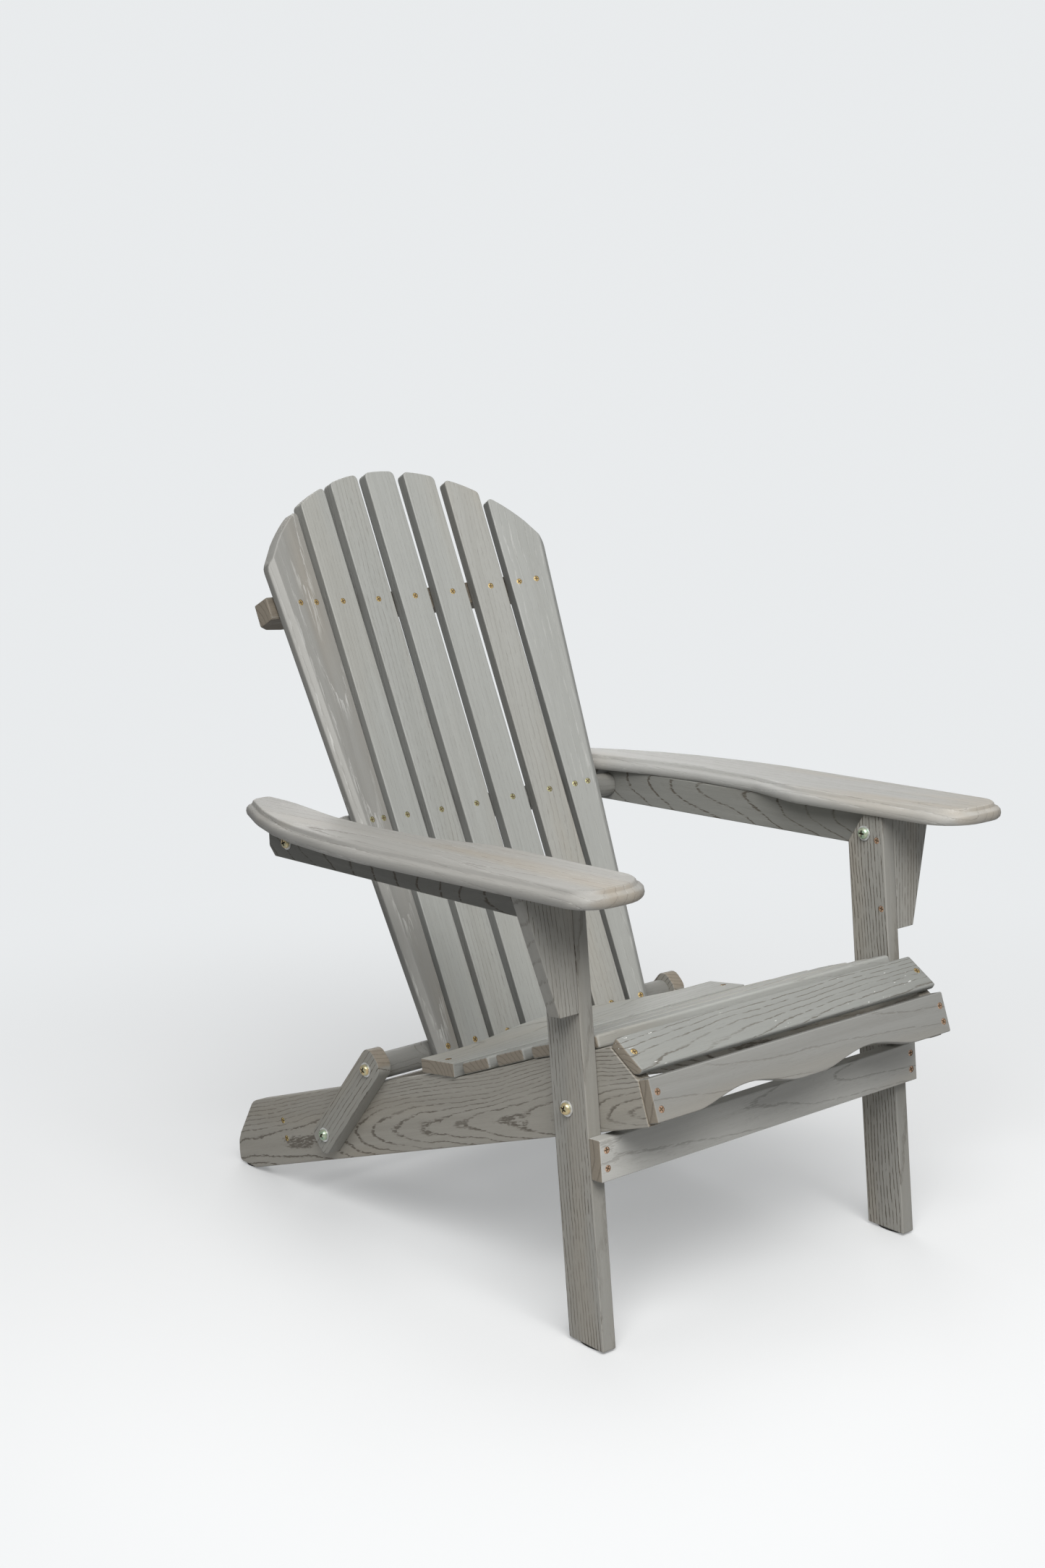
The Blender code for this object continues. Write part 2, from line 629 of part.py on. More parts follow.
def build_slats(back):
    number = {-2: 2, -1: 3, 0: 4, 1: 5, 2: 6}
    for order in (-2, -1, 0, 1, 2):
        centre, drift, turn, offset = INNER_SLATS[abs(order)]
        side = -1 if order < 0 else 1

        def left(s, c=centre, d=drift, g=side):
            return g * (c + d * s) - SLAT_WIDTH / 2

        def right(s, c=centre, d=drift, g=side):
            return g * (c + d * s) + SLAT_WIDTH / 2

        def plane(x, c=centre, t=turn, o=offset):
            return o + (abs(x) - c) * math.tan(t)

        slat_from(f"back_slat_{number[order]}", crown_outline(left, right), side, turn, plane, back)
    for name, side in (("back_slat_1", -1), ("back_slat_7", 1)):
        inner = (lambda s, g=side: g * outer_inner_edge(s))
        outer = (lambda s, g=side: g * outer_outer_edge(s))
        low, high = (outer, inner) if side < 0 else (inner, outer)
        corners = (OUTER_CORNER, CORNER) if side < 0 else (CORNER, OUTER_CORNER)
        outline = crown_outline(low, high, 9, corners)
        slat_from(name, outline, side, OUTER_TURN, outer_plane, back, outer)


def seat_line(s):
    """(x, set-forward) where the crossbars and batten must bear on the slats, at height s."""
    line = []
    for centre, drift, turn, offset in INNER_SLATS:
        for edge in (-SLAT_WIDTH / 2, SLAT_WIDTH / 2):
            x = centre + drift * s + edge
            if x > 0:
                line.append((x, offset + (x - centre) * math.tan(turn)))
    for x in (outer_inner_edge(s), outer_outer_edge(s)):
        line.append((x, outer_plane(x)))
    return [(-x, f) for x, f in reversed(line)] + line


def crossbar(name, pivot, half, back):
    """A round bar whose front is built out and shaped to carry the curved row of slats."""
    height = (Vector((0.0, pivot[0], pivot[1])) - BACK_ORIGIN).dot(BACK_ALONG)
    depth = (Vector((0.0, pivot[0], pivot[1])) - BACK_ORIGIN).dot(BACK_REAR)
    axis = BACK_ORIGIN + BACK_ALONG * height + BACK_REAR * depth
    line = seat_line(height)
    tip = line[-1][0]
    taper = 0.014
    stations = [(-half, None), (-tip - taper, None)] + line + [(tip + taper, None), (half, None)]
    bm = bmesh.new()
    rings = []
    count = 20
    for x, forward in stations:
        ring = []
        for k in range(count):
            angle = 2 * math.pi * k / count
            up = BAR_RADIUS * math.sin(angle)
            out = -BAR_RADIUS * math.cos(angle)
            if forward is not None and out > 0:
                face = depth - SLAT / math.cos(turn_at(x)) + forward - BAR_CLEAR
                out = face * (out / BAR_RADIUS) ** BAR_SQUARENESS
            ring.append(bm.verts.new(axis + Vector((x, 0.0, 0.0)) + BACK_ALONG * up - BACK_REAR * out))
        rings.append(ring)
    for a, b in zip(rings, rings[1:]):
        for k in range(count):
            n = (k + 1) % count
            bm.faces.new((a[k], a[n], b[n], b[k]))
    bm.faces.new(rings[0])
    bm.faces.new(rings[-1])
    return finish(name, bm, WOOD, back)


def upper_batten(back):
    """The board behind the top of the slats, hollowed in front and straight behind."""
    line = seat_line(BATTEN_AT)
    front = [(x, SLAT / math.cos(turn_at(x)) - f + BAR_CLEAR) for x, f in line]
    (low, high), rear = BATTEN_ENDS, BATTEN_REAR
    last = front[-1][1]
    end = [(0.0, rear - 0.020), (0.016, rear - 0.006), (0.040, rear)]
    outline = [(low, last)] + front + [(high, last)] + [(high - x, d) for x, d in end]
    outline += [(low + x, d) for x, d in reversed(end)]
    start = BACK_ORIGIN + BACK_ALONG * (BATTEN_AT - BATTEN_HALF)
    bm = prism([start + Vector((x, 0.0, 0.0)) + BACK_REAR * d for x, d in outline],
               BACK_ALONG * (2 * BATTEN_HALF))
    ease(bm, 0.0020)
    finish("back_batten_upper", bm, DARK_WOOD, back)


def build_back(back):
    build_slats(back)
    upper_batten(back)
    crossbar("back_crossbar_middle", BACK_PIVOT, LEG_OUT - 0.0005, back)
    lower = crossbar("back_crossbar_lower", BAR_PIVOT, LEG_IN - FIT_GAP, back)
    for _, side in SIDES:
        hole(lower, BAR_PIVOT, side * (LEG_IN - BAR_HOLE_DEPTH), side * (LEG_IN + 0.010))


# ---------------------------------------------------------------- fasteners
def bolt(name, side, pivot, head_face, tip, body):
    """A pan-head bolt along X: head_face is where the head bears, tip is the shank's end."""
    out = 1.0 if head_face > tip else -1.0
    rise = ((0.0, HEAD_RADIUS), (0.0018, HEAD_RADIUS), (0.0034, HEAD_RADIUS * 0.86),
            (0.0042, HEAD_RADIUS * 0.50), (0.0043, 0.0))
    profile = [(tip, 0.0), (tip, BOLT_RADIUS), (head_face, BOLT_RADIUS)]
    profile += [(head_face + out * h, r) for h, r in rise]
    finish(name, turned(profile, side, pivot), ZINC, body, smooth=True)


def washer(name, side, pivot, face, out, body):
    """A flat washer standing on a face, round a bolt."""
    near, far = face + out * FIT_GAP, face + out * (FIT_GAP + WASHER_THICK)
    profile = [(near, HOLE_RADIUS), (near, WASHER_RADIUS), (far, WASHER_RADIUS), (far, HOLE_RADIUS),
               (near, HOLE_RADIUS)]
    bm = turned(profile, side, pivot)
    bmesh.ops.remove_doubles(bm, verts=bm.verts, dist=0.00001)
    finish(name, bm, STEEL, body, smooth=True)


def nut(name, side, pivot, face, body):
    """A hexagonal nut on a rail's inner face, round a bolt's end."""
    near, far = face - FIT_GAP, face - FIT_GAP - NUT_THICK
    bore = HOLE_RADIUS / math.cos(math.pi / 6)
    ring = [(near, bore), (near, NUT_CORNER), (far, NUT_CORNER), (far, bore), (near, bore)]
    bm = turned(ring, side, pivot, 6)
    bmesh.ops.remove_doubles(bm, verts=bm.verts, dist=0.00001)
    finish(name, bm, STEEL, body)


def pinned(label, name, side, pivot, face, tip, body):
    out = 1.0 if face > tip else -1.0
    washer(f"{label}_washer_{name}", side, pivot, face, out, body)
    head = face + out * (2 * FIT_GAP + WASHER_THICK)
    bolt(f"{label}_bolt_{name}", side, pivot, head, tip, body)


def build_fasteners(seat, legs, arms, links, back):
    inner = RAIL_OUT - BOARD
    through = inner - 0.0080        # bolts end here, past their nuts
    for name, side in SIDES:
        pinned("leg_pivot", name, side, LEG_PIVOT, LEG_OUT, through, legs)
        nut(f"leg_pivot_nut_{name}", side, LEG_PIVOT, inner, seat)
        pinned("arm_pivot", name, side, ARM_PIVOT, LEG_IN, ARM_OUT - 0.0020, legs)
        pinned("back_pivot", name, side, BACK_PIVOT, ARM_OUT, ARM_IN + 0.0010, arms)
        pinned("link_top", name, side, BAR_PIVOT, LEG_OUT, LEG_IN - 0.0300, links)
        pinned("link_foot", name, side, LINK_PIVOT, LEG_OUT, through, links)
        nut(f"link_foot_nut_{name}", side, LINK_PIVOT, inner, seat)


# ---------------------------------------------------------------- assembly
def main():
    clear_scene()
    chair = axis_empty("chair", (0.0, 0.0))
    chair.location.y = -BOX_CENTRE_Y
    seat = axis_empty("seat_frame", (0.0, 0.0), chair)
    legs = axis_empty("leg_axis", LEG_PIVOT, seat)
    arms = axis_empty("arm_axis", ARM_PIVOT, legs)
    links = axis_empty("link_axis", LINK_PIVOT, seat)
    back = axis_empty("back_axis", BAR_PIVOT, links)
    build_seat(seat)
    build_legs(legs)
    build_arms(arms)
    for name, side in SIDES:
        link(name, side, links)
    build_back(back)
    build_fasteners(seat, legs, arms, links, back)


main()
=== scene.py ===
"""Looks of the folding adirondack chair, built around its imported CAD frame.

Every CAD piece is welded, smoothed and, where screws go in, drilled; then it gets its material.
Each board's grain follows that board's own long axis, which is worked out from its mesh.
Metres, +Z up, the chair's front at -Y.
"""

import json
import math
import random

import bmesh
import bpy
import numpy as np
from mathutils import Matrix, Vector
from mathutils.bvhtree import BVHTree


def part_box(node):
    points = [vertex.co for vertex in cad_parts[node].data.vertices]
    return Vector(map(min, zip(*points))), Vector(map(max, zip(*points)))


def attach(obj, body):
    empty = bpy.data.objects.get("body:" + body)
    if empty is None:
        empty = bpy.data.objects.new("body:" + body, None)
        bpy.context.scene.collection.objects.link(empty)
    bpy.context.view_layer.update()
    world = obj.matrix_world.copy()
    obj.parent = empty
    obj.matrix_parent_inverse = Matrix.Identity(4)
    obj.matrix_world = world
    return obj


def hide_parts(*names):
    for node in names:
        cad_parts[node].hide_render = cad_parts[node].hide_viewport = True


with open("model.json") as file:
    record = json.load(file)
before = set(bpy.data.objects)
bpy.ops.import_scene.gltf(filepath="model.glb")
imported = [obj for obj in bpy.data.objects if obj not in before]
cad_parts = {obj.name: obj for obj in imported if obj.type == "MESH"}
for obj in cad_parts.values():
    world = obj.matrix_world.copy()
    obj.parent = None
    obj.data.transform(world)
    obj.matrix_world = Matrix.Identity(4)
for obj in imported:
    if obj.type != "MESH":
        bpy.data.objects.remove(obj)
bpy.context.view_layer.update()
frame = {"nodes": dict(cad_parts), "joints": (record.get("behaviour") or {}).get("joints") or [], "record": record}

# ---------------------------------------------------------------- driving sizes
WELD = 0.00002              # CAD corners closer than this are one corner
FLAT_ANGLE = math.radians(0.2)
SMOOTH_ANGLE = math.radians(38)
SCREW_RADIUS = 0.0039
SCREW_SINK = 0.0007         # screw heads sit this far below the wood
DRILL_RADIUS = 0.0044
DRILL_DEPTH = SCREW_SINK + 0.0006
# a screw head's turned profile, from the point under it to the middle of its face: (height, radius)
SCREW_PROFILE = ((-0.0030, 0.0), (-0.0030, 0.0014), (-0.0006, SCREW_RADIUS), (0.0, SCREW_RADIUS * 0.97),
                 (0.0002, SCREW_RADIUS * 0.6), (0.00026, 0.0))
# cross recesses: length of an arm, width of an arm, depth
SCREW_CROSS = (SCREW_RADIUS * 0.80, SCREW_RADIUS * 0.40, 0.0024)
BOLT_CROSS = (0.0044, 0.0021, 0.0036)
OUTER_SHARES = (0.18, 0.56)      # places of an outer slat's two screws, as shares of its width
REAR_SLAT_INSET = 0.026          # the rear slat's screws, from its front edge
BRACKET_INSETS = (0.028, 0.030)  # the brackets' screws, from a bracket's bottom and top
SCREW_GAPS = {"seat_apron": 0.0190, "front_stretcher": 0.0205, "rear_stretcher": 0.0240}
SCREW_COLOURS = {"brass": (0.86, 0.64, 0.28), "green_brass": (0.66, 0.64, 0.36), "copper": (0.90, 0.60, 0.42),
                 "gold": (0.90, 0.70, 0.26)}

TOE_LEAD = 0.0540           # the toes stand this far in front of the legs' pivot
CAMERA_FROM_TOES = (-1.7330, -1.6884, 1.0858)   # from the floor point midway between the toes
CAMERA_YAW = 39.20          # degrees, to the right of straight ahead
CAMERA_PITCH = 11.22        # degrees, looking down
CAMERA_ROLL = -1.01
CAMERA_LENS = 50.41         # for a 36 mm frame height
BACKDROP = (0.815, 0.833, 0.845)

JOINTS = {j["name"]: Vector(j["pos_m"]) for j in frame["joints"]}
TOES = Vector((0.0, JOINTS["leg_fold"].y - TOE_LEAD, 0.0))
BODY_OF = {n: b for b, nodes in frame["record"]["behaviour"]["bodies"].items() for n in nodes}
NODES = sorted(frame["nodes"])
SIDES = (("left", -1), ("right", 1))


# ---------------------------------------------------------------- reading the frame
def board_axes(node):
    """(centre, rotation) of a board: the rotation's rows are along, across and through it."""
    mesh = frame["nodes"][node].data
    areas = np.array([p.area for p in mesh.polygons])
    centres = np.array([p.center for p in mesh.polygons])
    middle = (centres * areas[:, None]).sum(0) / areas.sum()
    spread = ((centres - middle) * areas[:, None]).T @ (centres - middle)
    vectors = np.linalg.eigh(spread)[1].T[::-1]
    along, across = (Vector(v) for v in vectors[:2])
    if max(along, key=abs) < 0:
        along.negate()
    if max(across, key=abs) < 0:
        across.negate()
    through = along.cross(across)
    return Vector(middle), Matrix((along, across, through))


def surface(node, near, outward):
    """The point and outward normal where a ray from outside meets a CAD node."""
    mesh = frame["nodes"][node].data
    tree = BVHTree.FromPolygons([v.co for v in mesh.vertices], [tuple(p.vertices) for p in mesh.polygons])
    outward = Vector(outward).normalized()
    place, normal, _, _ = tree.ray_cast(Vector(near) + outward * 0.1, -outward)
    if place is None:
        raise ValueError(f"no surface of {node} near {tuple(near)}")
    return place, normal


def span_at(node, origin, along, height):
    """The lowest and highest x of a node where it crosses a level along a direction."""
    mesh = frame["nodes"][node].data
    found = []
    for edge in mesh.edges:
        a, b = (mesh.vertices[i].co for i in edge.vertices)
        ha, hb = (a - origin).dot(along) - height, (b - origin).dot(along) - height
        if ha * hb < 0:
            found.append((a + (b - a) * (ha / (ha - hb))).x)
    return min(found), max(found)


def middle_of(node):
    """The middle of a node's box."""
    low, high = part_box(node)
    return (low + high) / 2


# ---------------------------------------------------------------- node trees
class Tree:
    """Short calls for wiring shader nodes; a value may be a socket, a number or a vector."""

    def __init__(self, tree):
        self.tree = tree

    def add(self, kind, **settings):
        node = self.tree.nodes.new("ShaderNode" + kind)
        for name, value in settings.items():
            setattr(node, name, value)
        return node

    def feed(self, socket, value):
        if isinstance(value, bpy.types.NodeSocket):
            self.tree.links.new(value, socket)
        elif value is not None:
            socket.default_value = value

    def math(self, operation, a, b=None, clamp=False):
        node = self.add("Math", operation=operation, use_clamp=clamp)
        self.feed(node.inputs[0], a)
        self.feed(node.inputs[1], b)
        return node.outputs[0]

    def vector(self, operation, a, b=None):
        node = self.add("VectorMath", operation=operation)
        self.feed(node.inputs[0], a)
        self.feed(node.inputs[1], b)
        return node.outputs["Value" if operation in ("DOT_PRODUCT", "LENGTH") else "Vector"]

    def noise(self, place, scale, detail=2.0, roughness=0.5, output="Fac"):
        """Noise of a place stretched by a per-axis scale, in features per metre."""
        node = self.add("TexNoise")
        self.feed(node.inputs["Vector"], self.vector("MULTIPLY", place, scale))
        node.inputs["Scale"].default_value = 1.0
        node.inputs["Detail"].default_value = detail
        node.inputs["Roughness"].default_value = roughness
        return node.outputs[output]

    def step(self, value, low, high):
        """0 below low, 1 above high, smooth between."""
        node = self.add("MapRange", interpolation_type="SMOOTHSTEP")
        for name, given in (("Value", value), ("From Min", low), ("From Max", high)):
            self.feed(node.inputs[name], given)
        return node.outputs["Result"]

    def mix(self, factor, a, b, blend="MIX"):
        node = self.add("Mix", data_type="RGBA", blend_type=blend)
        self.feed(node.inputs["Factor"], factor)
        for socket, value in ((node.inputs[6], a), (node.inputs[7], b)):
            self.feed(socket, value if isinstance(value, bpy.types.NodeSocket) else (*value, 1.0))
        return node.outputs[2]


# ---------------------------------------------------------------- wood
# rings: spacing of the growth rings; pith: (across, below the face) of their centre, both in metres;
# taper: how fast the rings' centre dives, which draws the arches; pores: depth of the dark pores;
# lime: how white the stain stands in the grain; warm: share of beige patches; line: width of a ring's pores;
# fine: depth of the short dark strokes; wander: how far the rings stray, in metres;
# edge and facet: tones of painted shade on the narrow faces, as in the gaps between boards, and of painted light
# on sloping ones, against the wide face;
# ends: share of end grain; chips: share of small chips in the stain
WOOD_DEFAULT = {"rings": 0.0070, "pith": (0.030, -0.035), "taper": -0.040, "pores": 0.45, "lime": 0.0,
                "warm": 0.45, "line": 0.0013, "fine": 0.14, "wander": 0.012,
                "edge": 0.90, "painted_light_facet": 1.0, "ends": 1.0, "chips": 0.0,
                "light": (0.400, 0.405, 0.385), "dark": (0.350, 0.352, 0.330)}
END_LIGHT = (0.285, 0.247, 0.196)
END_DARK = (0.165, 0.139, 0.106)
WARM_TINT = (1.04, 0.95, 0.84)
PORE_COLOUR = (0.085, 0.070, 0.052)
CHALK = (0.66, 0.66, 0.64)


def strayed(t, given, seeded):
    """The place, pushed across the board by three sizes of noise, so that no line is straight."""
    place = given["Place"]
    wide = t.math("MULTIPLY", given["Wander"], 2.0)
    strays = (((3.2, 11.0, 11.0), wide), ((24.0, 50.0, 50.0), 0.0030), ((160.0, 420.0, 420.0), 0.0011))
    for scale, reach in strays:
        stray = t.vector("SUBTRACT", t.noise(seeded, scale, 1.0, output="Color"), (0.5, 0.5, 0.5))
        amount = t.vector("SCALE", t.vector("MULTIPLY", stray, (0.0, 1.0, 1.0)))
        t.feed(amount.node.inputs["Scale"], reach)
        place = t.vector("ADD", place, amount)
    return place


def year_of_growth(t, given, place, seeded):
    """How far through its ring a place is, 0 to 1; the rings' centre line dives along the board."""
    apart = t.add("SeparateXYZ")
    t.feed(apart.inputs[0], place)
    pith = t.add("SeparateXYZ")
    t.feed(pith.inputs[0], given["Pith"])
    sideways = t.math("SUBTRACT", apart.outputs[1], pith.outputs[1])
    dive = t.math("MULTIPLY", apart.outputs[0], given["Taper"])
    deep = t.math("SUBTRACT", t.math("SUBTRACT", apart.outputs[2], pith.outputs[2]), dive)
    square = t.math("ADD", t.math("MULTIPLY", sideways, sideways), t.math("MULTIPLY", deep, deep))
    age = t.math("DIVIDE", t.math("SQRT", square), given["Rings"])
    age = t.math("ADD", age, t.math("MULTIPLY", t.noise(seeded, (1.5, 7.0, 7.0)), 1.2))
    return t.math("FRACT", age)


def wood_group():
    """The grain: takes a place in a board's own axes and gives colour, roughness and height."""
    group = bpy.data.node_groups.new("stained_open_grain", "ShaderNodeTree")
    face = group.interface
    for name, kind in (("Place", "Vector"), ("End", "Float"), ("Pith", "Vector"), ("Rings", "Float"),
                       ("Taper", "Float"), ("Pores", "Float"), ("Lime", "Float"), ("Warm", "Float"),
                       ("Line", "Float"), ("Fine", "Float"), ("Wander", "Float"),
                       ("Light", "Color"), ("Dark", "Color"), ("Seed", "Vector")):
        face.new_socket(name, in_out="INPUT", socket_type="NodeSocket" + kind)
    for name, kind in (("Colour", "Color"), ("Roughness", "Float"), ("Height", "Float")):
        face.new_socket(name, in_out="OUTPUT", socket_type="NodeSocket" + kind)
    t = Tree(group)
    given = group.nodes.new("NodeGroupInput").outputs
    result = group.nodes.new("NodeGroupOutput").inputs

    seeded = t.vector("ADD", given["Place"], given["Seed"])
    bent = strayed(t, given, seeded)
    year = year_of_growth(t, given, bent, seeded)

    # each ring starts with a row of open pores, broken into dashes
    into = t.math("MULTIPLY", year, given["Rings"])
    edge = t.math("MULTIPLY", given["Line"], 0.35)
    fading = t.math("SUBTRACT", 1.0, t.step(into, edge, given["Line"]))
    early = t.math("MULTIPLY", t.step(into, 0.0, edge), fading)
    grainy = t.vector("ADD", bent, given["Seed"])
    strength = t.step(t.noise(seeded, (5.0, 24.0, 24.0)), 0.28, 0.60)
    dashes = t.step(t.noise(grainy, (60.0, 620.0, 620.0), 1.5), 0.35, 0.50)
    line = t.math("MULTIPLY", t.math("MULTIPLY", early, dashes), t.math("ADD", strength, 0.45), clamp=True)
    strokes = t.step(t.noise(grainy, (80.0, 1150.0, 1150.0), 1.0), 0.56, 0.70)
    near_ring = t.math("SUBTRACT", 1.0, t.step(year, 0.15, 0.75))
    strokes = t.math("MULTIPLY", strokes, t.math("ADD", t.math("MULTIPLY", near_ring, 0.7), 0.3))

    # the stain: streaks, beige patches, white standing in the pores, and the dark pores over all
    fibre = t.noise(grainy, (12.0, 800.0, 800.0), 3.0, 0.6)
    streak = t.noise(grainy, (1.6, 85.0, 85.0), 3.0, 0.55)
    tone = t.math("ADD", t.math("MULTIPLY", fibre, 0.35), t.math("MULTIPLY", streak, 0.65))
    colour = t.mix(t.step(tone, 0.30, 0.70), given["Dark"], given["Light"])
    patch = t.step(t.noise(seeded, (2.2, 15.0, 15.0), 2.0), 0.46, 0.72)
    colour = t.mix(t.math("MULTIPLY", patch, given["Warm"]), colour, WARM_TINT, "MULTIPLY")
    white = t.math("MULTIPLY", t.math("SUBTRACT", 1.0, t.step(year, 0.05, 0.40)),
                   t.step(t.noise(grainy, (26.0, 520.0, 520.0), 2.0, 0.6), 0.46, 0.62))
    white = t.math("MULTIPLY", t.math("MULTIPLY", white, strength), given["Lime"])
    colour = t.mix(white, colour, CHALK)
    colour = t.mix(t.math("MULTIPLY", strokes, given["Fine"]), colour, PORE_COLOUR)
    colour = t.mix(t.math("MULTIPLY", line, given["Pores"], clamp=True), colour, PORE_COLOUR)

    # ends are cut across the rings, so they drink more stain and show arcs
    arcs = t.math("ADD", t.math("MULTIPLY", t.step(year, 0.0, 0.30), 0.6),
                  t.math("MULTIPLY", t.noise(seeded, (40.0, 420.0, 420.0), 3.0), 0.5))
    colour = t.mix(given["End"], colour, t.mix(arcs, END_DARK, END_LIGHT))
    t.feed(result["Colour"], colour)

    holes = t.math("ADD", line, t.math("MULTIPLY", strokes, 0.35), clamp=True)
    rough = t.math("ADD", 0.46, t.math("MULTIPLY", fibre, 0.16))
    t.feed(result["Roughness"], t.math("ADD", rough, t.math("MULTIPLY", holes, 0.25)))
    t.feed(result["Height"], t.math("SUBTRACT", t.math("MULTIPLY", fibre, 0.22), holes))
    return group


WOOD_GROUP = wood_group()


def wood_material(node, seed, **changes):
    """The stained wood on one board, with the grain running along that board, painted shade on its narrow faces
    and painted light on its sloping ones.
    """
    look = {**WOOD_DEFAULT, **changes}
    material = bpy.data.materials.new("stained_wood_" + node)
    material.use_nodes = True
    t = Tree(material.node_tree)
    shader = material.node_tree.nodes["Principled BSDF"]
    centre, turn = board_axes(node)
    where = t.add("TexCoord")
    local = t.add("Mapping", vector_type="POINT")
    t.feed(local.inputs["Vector"], where.outputs["Object"])
    local.inputs["Rotation"].default_value = turn.to_euler()
    local.inputs["Location"].default_value = -(turn @ centre)
    lengthwise, sideways = (t.math("ABSOLUTE", t.vector("DOT_PRODUCT", where.outputs["Normal"], tuple(axis)))
                            for axis in turn.row[:2])
    # painted shade: narrow faces, found by their normal, get the darker edge tone, as in the shade of the gaps
    # between boards
    edge = t.step(sideways, 0.80, 0.94)
    # painted light: sloping faces, such as a chamfer, get the facet tone
    painted_light_slant = t.math("MULTIPLY", t.step(sideways, 0.42, 0.56), t.math("SUBTRACT", 1.0, edge))
    end = t.math("MULTIPLY", t.step(lengthwise, 0.62, 0.90), look["ends"])
    pores = t.math("MULTIPLY", t.math("SUBTRACT", 1.0, t.math("MULTIPLY", edge, 0.70)), look["pores"])
    grain = t.add("Group", node_tree=WOOD_GROUP)
    dice = random.Random(seed)
    across, below = look["pith"]
    for name, value in (("Place", local.outputs[0]), ("End", end),
                        ("Pith", (0.0, across, below)), ("Rings", look["rings"]), ("Taper", look["taper"]),
                        ("Pores", pores), ("Lime", look["lime"]), ("Warm", look["warm"]),
                        ("Line", look["line"]), ("Fine", look["fine"]), ("Wander", look["wander"]),
                        ("Light", (*look["light"], 1.0)), ("Dark", (*look["dark"], 1.0)),
                        ("Seed", tuple(dice.uniform(-5.0, 5.0) for _ in range(3)))):
        t.feed(grain.inputs[name], value)
    bump = t.add("Bump")
    bump.inputs["Strength"].default_value = 0.35
    bump.inputs["Distance"].default_value = 0.0006
    t.feed(bump.inputs["Height"], grain.outputs["Height"])
    # painted shade on the narrow faces goes into the colour here
    colour = t.mix(edge, grain.outputs["Colour"], (look["edge"],) * 3, "MULTIPLY")
    # painted light on the sloping faces goes into the colour here
    colour = t.mix(painted_light_slant, colour, (look["painted_light_facet"],) * 3, "MULTIPLY")
    if look["chips"]:
        chip = t.step(t.noise(local.outputs[0], (130.0, 420.0, 420.0), 1.0), 0.735, 0.750)
        area = t.step(t.noise(local.outputs[0], (9.0, 30.0, 30.0), 0.0), 0.56, 0.62)
        chip = t.math("MULTIPLY", t.math("MULTIPLY", chip, area), look["chips"])
        colour = t.mix(chip, colour, (0.80, 0.80, 0.78))
    t.feed(shader.inputs["Base Color"], colour)
    t.feed(shader.inputs["Roughness"], grain.outputs["Roughness"])
    t.feed(shader.inputs["Normal"], bump.outputs["Normal"])
    return material


def metal_material(name, colour, roughness, tint=None):
    """Plated steel: slight stains in the plating, and fine scuffs in its gloss."""
    material = bpy.data.materials.new(name)
    material.use_nodes = True
    t = Tree(material.node_tree)
    shader = material.node_tree.nodes["Principled BSDF"]
    where = t.add("TexCoord").outputs["Object"]
    stain = t.step(t.noise(where, (260.0,) * 3, 2.0), 0.38, 0.64)
    scuff = t.noise(where, (1600.0, 1600.0, 5200.0), 3.0)
    other = tint or tuple(0.78 * c for c in colour)
    t.feed(shader.inputs["Base Color"], t.mix(stain, colour, other))
    t.feed(shader.inputs["Roughness"], t.math("ADD", roughness, t.math("MULTIPLY", scuff, 0.18)))
    shader.inputs["Metallic"].default_value = 0.7
    return material


def make_metals():
    """The screws' platings by colour, the metals of bolts and washers, and the painted shade inside the recesses.
    """
    metals = {name: metal_material("screw_" + name, colour, 0.30) for name, colour in SCREW_COLOURS.items()}
    metals["gold_zinc"] = metal_material("gold_zinc", (0.80, 0.62, 0.34), 0.22, (0.62, 0.60, 0.40))
    metals["green_zinc"] = metal_material("green_zinc", (0.62, 0.68, 0.50), 0.22, (0.42, 0.60, 0.44))
    # painted shade: the insides of the cross recesses in screw and bolt heads are coloured near black-brown for
    # the shade in them
    metals["recess"] = metal_material("recess", (0.120, 0.100, 0.065), 0.45)
    metals["washer"] = metal_material("bright_zinc", (0.90, 0.91, 0.91), 0.35)
    return metals


def drilled_wood():
    """The rim of a screw hole, coloured dark brown as painted shade in the hole."""
    material = bpy.data.materials.new("drilled_wood")
    material.use_nodes = True
    t = Tree(material.node_tree)
    shader = material.node_tree.nodes["Principled BSDF"]
    # painted shade, mottled by noise between a near-black and a dark brown
    stain = t.noise(t.add("TexCoord").outputs["Object"], (900.0,) * 3, 3.0)
    t.feed(shader.inputs["Base Color"], t.mix(stain, (0.060, 0.042, 0.025), (0.230, 0.150, 0.080)))
    t.feed(shader.inputs["Roughness"], t.math("ADD", 0.60, t.math("MULTIPLY", stain, 0.25)))
    return material


def rubber_material():
    """The glides: black rubber with a little dust."""
    material = bpy.data.materials.new("glide_rubber")
    material.use_nodes = True
    t = Tree(material.node_tree)
    shader = material.node_tree.nodes["Principled BSDF"]
    dust = t.noise(t.add("TexCoord").outputs["Object"], (220.0,) * 3, 3.0)
    t.feed(shader.inputs["Base Color"], t.mix(dust, (0.018, 0.018, 0.018), (0.060, 0.058, 0.054)))
    t.feed(shader.inputs["Roughness"], t.math("ADD", 0.62, t.math("MULTIPLY", dust, 0.25)))
    return material


# ---------------------------------------------------------------- meshes
def new_piece(name, bm, material, body):
    """An object made from a bmesh, smoothly shaded, riding on a body."""
    mesh = bpy.data.meshes.new(name)
    bm.to_mesh(mesh)
    bm.free()
    mesh.materials.append(material)
    mesh.shade_smooth()
    mesh.set_sharp_from_angle(angle=SMOOTH_ANGLE)
    piece = bpy.data.objects.new(name, mesh)
    bpy.context.scene.collection.objects.link(piece)
    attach(piece, body)
    return piece


